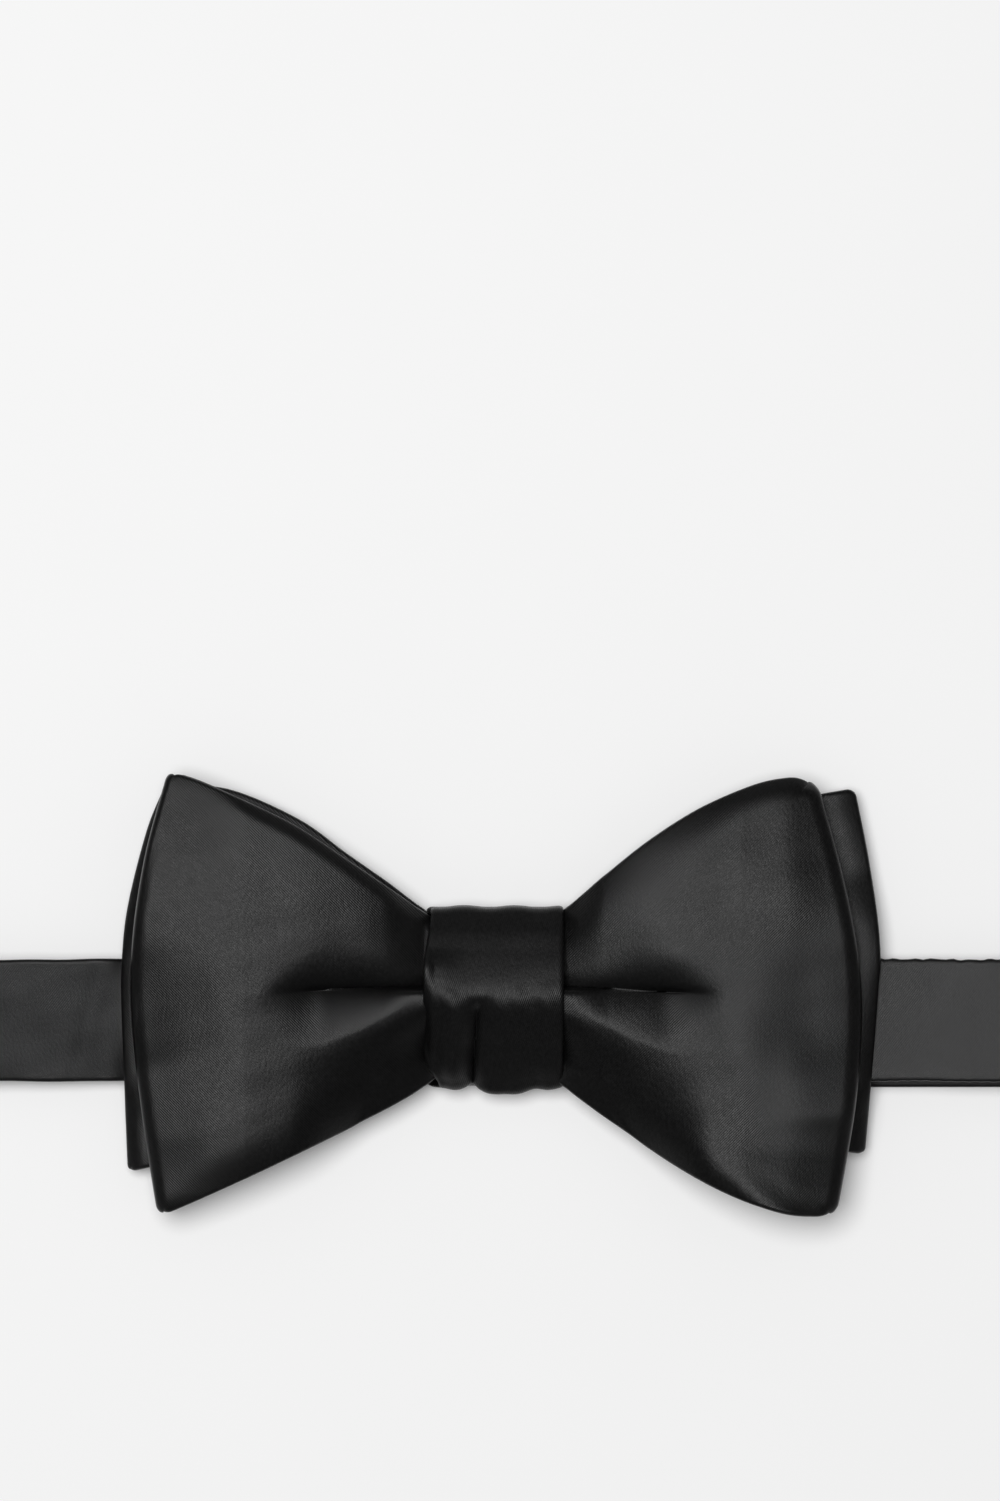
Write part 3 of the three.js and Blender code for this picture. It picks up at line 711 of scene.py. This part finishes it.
def strap_panel(
    name, path, y, half_width=HALF_WIDTH, thickness=STRAP, across=28, wave=0.0, twist=None, **options
):
    """A strap along a path of (x, z) points. y and half_width may be functions of x."""
    v = spaced(-1, 1, across, 0.9)
    middle = y(path[:, 0]) if callable(y) else np.full(len(path), y)
    half = half_width(path[:, 0]) if callable(half_width) else np.full(len(path), half_width)
    points = np.zeros((len(path), across, 3))
    points[:, :, 0] = path[:, :1]
    points[:, :, 1] = middle[:, None] + v[None, :] * half[:, None]
    points[:, :, 2] = path[:, 1:]
    if twist:
        points[:, :, 2] += twist(points[:, :, 0], points[:, :, 1] - middle[:, None])
    if wave:
        points[:, :, 2] += soft_waves(points[:, :, 0] * 1.4, points[:, :, 1] * 1.2, wave)
    return panel(name, points, thickness, roll=0.45, **options)


def band_canvas(name, path, y, **options):
    """The interlining of a run of the neck band."""
    return strap_panel(
        name, path, y, CANVAS_HALF_WIDTH, CANVAS_PLY, 10, round_u=False, round_v=False, **options
    )


def stretch(x0, x1, height, step=0.6):
    """(x, z) points from x0 to x1, at a height that may depend on x."""
    count = max(3, int(abs(x1 - x0) / step))
    x = np.linspace(x0, x1, count)
    return np.stack([x, height(x) + 0 * x], axis=-1)


def turn(x, z, radius, start, end, steps=14):
    """(x, z) points round an arc."""
    angle = np.linspace(start, end, steps)
    return np.stack([x + radius * np.cos(angle), z + radius * np.sin(angle)], axis=-1)


BAND_Z = 5.4  # the front run's height beyond the bow
WRAPPED_Z = 2.0  # and inside the knot


def front_run_height(x):
    a = np.abs(x)
    rise = (BAND_Z - WRAPPED_Z) * ramp(11, 21, a)
    fall = (BAND_Z - FOLD_TOP) * ramp(94, 105, a)
    lean = np.where(x > 0, 0.06, 0.078) * (past(59, a) - past(83, a)) * (1 - ramp(86, 96, a))
    return WRAPPED_Z + rise - fall + lean - 0.3 * ramp(-50, -60, x) * ramp(-98, -88, x)


def front_twist(x, across):
    """The front run leans up a little at the right, and down at the left, where it has one soft crease."""
    left, right = ramp(-56, -61, x) * ramp(-96, -82, x), ramp(50, 60, x) * ramp(96, 82, x)
    return across * (0.10 * left - 0.05 * right) + 0.25 * left * bump(-64, 1.8, x - 0.22 * across)


def edge_wander(x):
    """The band's long edges are not quite straight."""
    ripple = 0.08 * np.sin(2.1 * x) + 0.06 * np.sin(3.3 * x + 1)
    return 0.10 * np.sin(0.21 * x + 0.7) + 0.06 * np.sin(0.57 * x) + ripple * ramp(50, 60, x)


def bow_sideways(x, by):
    """How far a run lies to the side of its straight line, between the bow and its fold."""
    return by * ramp(48, 60, np.abs(x)) * ramp(100, 86, np.abs(x))


def front_run_y(x):
    return FRONT_Y + 0.5 * edge_wander(x) + bow_sideways(x, -0.3)


def front_run_half_width(x):
    squeeze = 0.5 * (1 - ramp(9, 16, np.abs(x)))  # inside the knot
    return HALF_WIDTH - squeeze + 0.5 * edge_wander(x + 9) + bow_sideways(x, 0.2)


front = strap_panel(
    "band_front_satin",
    stretch(-FOLD_X + 0.05, FOLD_X - 0.05, front_run_height),
    front_run_y,
    front_run_half_width,
    wave=0.06,
    twist=front_twist,
    round_u=False,
)
finish_piece(front, BAND_SATIN, "satin", "bow", "band_front")
inner = stretch(-FOLD_X + 0.6, FOLD_X - 0.6, front_run_height, 0.8)
lining = band_canvas("band_front_canvas", inner, FRONT_Y, twist=front_twist)
finish_piece(lining, CANVAS, "interlining", "bow", "band_front_interlining")


def left_run_height(x):
    """The left run climbs over the adjuster's sewn loop, and lies on the return run up to the hook."""
    over = 3 * LAYER - ARM_Z - GAP + 0.4
    climb = ramp(SLIDER_X - SLIDER_BAR / 2 - SLIDER_SLOT + 0.2, SLIDER_X - SLIDER_BAR, x)
    drop = ramp(SLIDER_X + 0.9 * SLIDER_BAR, SLIDER_X + SLIDER_BAR / 2 + SLIDER_SLOT - 0.2, x)
    step = LAYER * ramp(SLIDER_X - SLIDER_HALF - 5, SLIDER_X - SLIDER_HALF - 1, x)
    to_hook = (FOLD_TOP - ARM_Z - LAYER) * ramp(HOOK_X - 7, HOOK_X - 2, x)
    return ARM_Z + step + over * (climb - drop) + to_hook


STRAP_END = HOOK_X - 1.7
SLIDER_EDGE = SLIDER_X + SLIDER_HALF + 0.6
STRAP_STEP = 0.45  # between the left run's rows of points

near = strap_panel(
    "band_left_satin",
    stretch(-FOLD_X + 0.05, SLIDER_EDGE, left_run_height, STRAP_STEP),
    LEFT_Y,
    wave=0.05,
    round_u=False,
)
finish_piece(near, BAND_SATIN, "satin", None, "band_left")
SLACK_FROM = -FOLD_X + 2  # between these two the strap takes up the adjuster's travel
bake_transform(near)

far = strap_panel(
    "band_left_end_satin",
    stretch(SLIDER_EDGE, STRAP_END, left_run_height, STRAP_STEP),
    LEFT_Y,
    wave=0.05,
    round_u=False,
)
finish_piece(far, BAND_SATIN, "satin", None)
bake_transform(far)

HOOK_ROOM = 2.8  # the interlining stays this far from the hook's end, which comes nearer as it slides
inner = stretch(SLACK_FROM, STRAP_END - HOOK_ROOM, left_run_height, 1.0)
lining = band_canvas("band_left_canvas", inner, LEFT_Y)
finish_piece(lining, CANVAS, "interlining", None, "band_left_interlining")
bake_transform(lining)

RETURN_START = SLIDER_X + SLIDER_BAR / 2 + GAP


def return_run_height(x):
    return ARM_Z + LAYER * (1 - ramp(RETURN_START, RETURN_START + 3.4, x))


back = strap_panel(
    "strap_return_satin",
    stretch(RETURN_START, STRAP_END, return_run_height, STRAP_STEP),
    LEFT_Y,
    round_u=False,
)
finish_piece(back, BAND_SATIN, "satin", None, "strap_return_run")
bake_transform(back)

SLIDER_Z = (SLIDER_LOW[2] + SLIDER_HIGH[2]) / 2
sewn_radius = (SLIDER_HIGH[2] - SLIDER_LOW[2] + 2 * GAP + STRAP) / 2
sewn = strap_panel(
    "adjuster_loop_satin",
    np.vstack(
        [
            [[SLIDER_X + SLIDER_BAR / 2, SLIDER_Z - sewn_radius]],
            turn(SLIDER_X - SLIDER_BAR / 2, SLIDER_Z, sewn_radius, -math.pi / 2, -1.5 * math.pi),
            [[SLIDER_X + SLIDER_BAR / 2, SLIDER_Z + sewn_radius]],
        ]
    ),
    LEFT_Y,
    round_u=False,
)
finish_piece(sewn, BAND_SATIN, "satin", "adjuster", "adjuster_strap_loop")

hook_loop = strap_panel(
    "hook_loop_satin",
    np.vstack(
        [
            [[STRAP_END + 0.05, ARM_Z]],
            turn(HOOK_X, FOLD_Z, FOLD_RADIUS, -math.pi / 2, math.pi / 2),
            [[STRAP_END + 0.05, FOLD_TOP]],
        ]
    ),
    LEFT_Y,
    round_u=False,
)
finish_piece(hook_loop, BAND_SATIN, "satin", "strap_end", "hook_strap_loop")

SEWN_END = EYE_X + 13


def right_run_y(x):
    return RIGHT_Y + bow_sideways(x, -0.4)


def right_run_height(x):
    """The right run lies on its own sewn end, which has come back round the eye's bar."""
    over = LAYER * (1 - ramp(SEWN_END + 1, SEWN_END + 5, x))
    to_eye = (FOLD_TOP - ARM_Z - LAYER) * (1 - ramp(EYE_X + 1.5, EYE_X + 7, x))
    return ARM_Z + over + to_eye


right = strap_panel(
    "band_right_satin",
    np.vstack(
        [
            stretch(FOLD_X - 0.05, EYE_X + 1.5, right_run_height),
            turn(EYE_X, FOLD_Z, FOLD_RADIUS, math.pi / 2, 1.5 * math.pi),
            stretch(EYE_X + 1.5, SEWN_END, lambda x: ARM_Z),
        ]
    ),
    right_run_y,
    round_u=False,
)
finish_piece(right, BAND_SATIN, "satin", "right_arm", "band_right")
inner = stretch(FOLD_X - 0.6, EYE_X + 1.5, right_run_height, 1.5)
lining = band_canvas("band_right_canvas", inner, right_run_y)
finish_piece(lining, CANVAS, "interlining", "right_arm", "band_right_interlining")

for side, arm, y in ((-1, "left_arm", LEFT_Y), (1, "right_arm", RIGHT_Y)):
    quarter = math.pi / 2
    path = turn(side * FOLD_X, FOLD_Z, FOLD_RADIUS, quarter, quarter - side * math.pi, 20)
    name = "left" if side < 0 else "right"
    v = spaced(-1, 1, 28, 0.9)
    points = np.zeros((len(path), len(v), 3))
    points[:, :, 0] = path[:, :1]
    points[:, :, 2] = path[:, 1:]
    # The folded run lies a little to the side of the front run.
    middle = y + (FRONT_Y - y) * (points[:, :, 2] - ARM_Z) / (2 * FOLD_RADIUS)
    points[:, :, 1] = middle + v[None, :] * HALF_WIDTH
    fold = panel(f"band_fold_{name}_satin", points, STRAP, round_u=False, roll=0.45)
    finish_piece(fold, BAND_SATIN, "satin", None, f"band_fold_{name}")
    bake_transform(fold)

# ---------------------------------------------------------------- threads and stitches


def thread_curve(name, splines, radius, body, node):
    """Lengths of thread, each through its own points, in mm."""
    curve = bpy.data.curves.new(name, "CURVE")
    curve.dimensions = "3D"
    curve.bevel_depth = radius * MM
    curve.bevel_resolution = 2
    curve.resolution_u = 4
    for points in splines:
        spline = curve.splines.new("POLY")
        spline.points.add(len(points) - 1)
        for place, (x, y, z) in zip(spline.points, points):
            place.co = (x * MM, y * MM, z * MM, 1)
        spline.use_smooth = True
    obj = bpy.data.objects.new(name, curve)
    bpy.context.scene.collection.objects.link(obj)
    return finish_piece(obj, THREAD, "thread", body, node)


CINCH_LOW, CINCH_HIGH = box_mm("waist_cinch_thread")
cinch_half = (CINCH_HIGH - CINCH_LOW) / 2
TURNS = 11
WAIST_TOP = 7.9  # at the waist's edges; its middle is higher
winding = []
for angle in np.linspace(0, TURNS * 2 * math.pi, TURNS * 48):
    c, s = math.cos(angle), math.sin(angle)
    y = (WAIST + 0.35) * math.copysign(abs(c) ** 0.35, c)
    over = max(0, 1 - (y / WAIST) ** 2)
    low, high = 2.8, WAIST_TOP + 1.5 * over
    z = (low + high) / 2 + (high - low) / 2 * math.copysign(abs(s) ** 0.5, s)
    x = -cinch_half[0] + 0.2 + (2 * cinch_half[0] - 0.4) * angle / (TURNS * 2 * math.pi)
    winding.append((x, y, z))
thread_curve("waist_thread", [winding], 0.16, "bow", "waist_cinch_thread")

STITCH_LOW, STITCH_HIGH = box_mm("knot_closing_stitches")
seam_y = (STITCH_LOW[1] + STITCH_HIGH[1]) / 2
STITCH_LEAN = 0.5
STITCH_REACH = 0.9
stitches = []
for x in np.linspace(STITCH_LOW[0] + 0.8, STITCH_HIGH[0] - 0.8, 11):
    along = np.linspace(-1, 1, 7)
    arch = 0.06 + 0.10 * (1 - along**2)
    stitches.append(list(zip(x + STITCH_LEAN * along, seam_y + STITCH_REACH * along, arch)))
thread_curve("knot_stitches", stitches, 0.1, "bow", "knot_closing_stitches")

TACK_LOW, TACK_HIGH = box_mm("eye_bar_tack")
tack = []
for i, y in enumerate(np.linspace(TACK_LOW[1], TACK_HIGH[1], 64)):
    x = TACK_LOW[0] if i % 2 else TACK_HIGH[0]
    tack.append((x, y, TACK_LOW[2] + 0.08))
thread_curve("eye_tack", [tack], 0.12, "right_arm", "eye_bar_tack")

# ---------------------------------------------------------------- the metal clips


def rounded_copy(node, body, edge):
    """A clip with its edges broken, as tumbled and plated sheet metal has."""
    source = frame["nodes"][node]
    obj = bpy.data.objects.new(f"{node}_plated", source.data.copy())
    bpy.context.scene.collection.objects.link(obj)
    obj.matrix_world = source.matrix_world.copy()
    made = bmesh.new()
    made.from_mesh(obj.data)
    bmesh.ops.remove_doubles(made, verts=made.verts, dist=1e-6)
    bmesh.ops.dissolve_limit(made, angle_limit=math.radians(2), verts=made.verts, edges=made.edges)
    sharp = [e for e in made.edges if len(e.link_faces) == 2 and e.calc_face_angle(0) > math.radians(50)]
    bmesh.ops.bevel(
        made, geom=sharp, offset=edge * MM, segments=2, profile=0.5, affect="EDGES", clamp_overlap=True
    )
    made.to_mesh(obj.data)
    made.free()
    obj.data.materials.clear()
    obj.data.shade_smooth()
    obj.data.set_sharp_from_angle(angle=math.radians(40))
    return finish_piece(obj, METAL, "clip_metal", body, node)


rounded_copy("slide_adjuster", "adjuster", 0.15)
rounded_copy("hook", "hook", 0.12)
rounded_copy("eye", "eye", 0.12)

# ---------------------------------------------------------------- floor, light and camera

FLOOR_HALF = 2  # m
floor_corners = [(x * FLOOR_HALF, y * FLOOR_HALF, 0) for x, y in ((-1, -1), (1, -1), (1, 1), (-1, 1))]
floor_mesh = bpy.data.meshes.new("floor")
floor_mesh.from_pydata(floor_corners, [], [(0, 1, 2, 3)])
floor = bpy.data.objects.new("floor", floor_mesh)
floor.location.z = -0.0002  # just clear of the threads on the knot's back
bpy.context.scene.collection.objects.link(floor)
floor_material, floor_tree, floor_shader = node_material("pale_floor")
grain = texture(floor_tree, "ShaderNodeTexNoise", mapping(floor_tree), Scale=30, Detail=2.0).outputs["Fac"]
base_colour(floor_tree, floor_shader, grain, (0.895, 0.895, 0.895), (0.905, 0.905, 0.905))
floor_shader.inputs["Roughness"].default_value = 0.9
floor_shader.inputs["Specular IOR Level"].default_value = 0.1
floor.data.materials.append(floor_material)


def area_light(name, place, size, power):
    """A round softbox that faces the origin. place and size are in m, and power in W."""
    data = bpy.data.lights.new(name, "AREA")
    data.shape = "DISK"
    data.size = size
    data.energy = power
    lamp = bpy.data.objects.new(name, data)
    lamp.location = place
    lamp.rotation_euler = (-Vector(place)).to_track_quat("-Z", "Y").to_euler()
    bpy.context.scene.collection.objects.link(lamp)


area_light("overhead_softbox", (-0.2, 0.20, 1.6), 0.9, 23.8)

world = bpy.data.worlds.new("studio")
world.use_nodes = True
world.node_tree.nodes["Background"].inputs["Color"].default_value = (1, 1, 1, 1)
world.node_tree.nodes["Background"].inputs["Strength"].default_value = 0.165
bpy.context.scene.world = world
bpy.context.scene.view_settings.view_transform = "Standard"

# The view takes in this much of the floor, in m, with the bow below its middle.
PICTURE_HEIGHT = 0.237
PICTURE_CENTRE = (0.00103, 0.0391)
camera_data = bpy.data.cameras.new("camera")
camera_data.sensor_fit = "VERTICAL"
camera_data.sensor_height = 36
camera_data.lens = 135
camera = bpy.data.objects.new("camera", camera_data)
distance = PICTURE_HEIGHT * camera_data.lens / camera_data.sensor_height
BOW_HEIGHT = 0.008  # m, of the outlines that the view's scale is true for
camera.location = (*PICTURE_CENTRE, distance + BOW_HEIGHT)
bpy.context.scene.collection.objects.link(camera)
bpy.context.scene.camera = camera
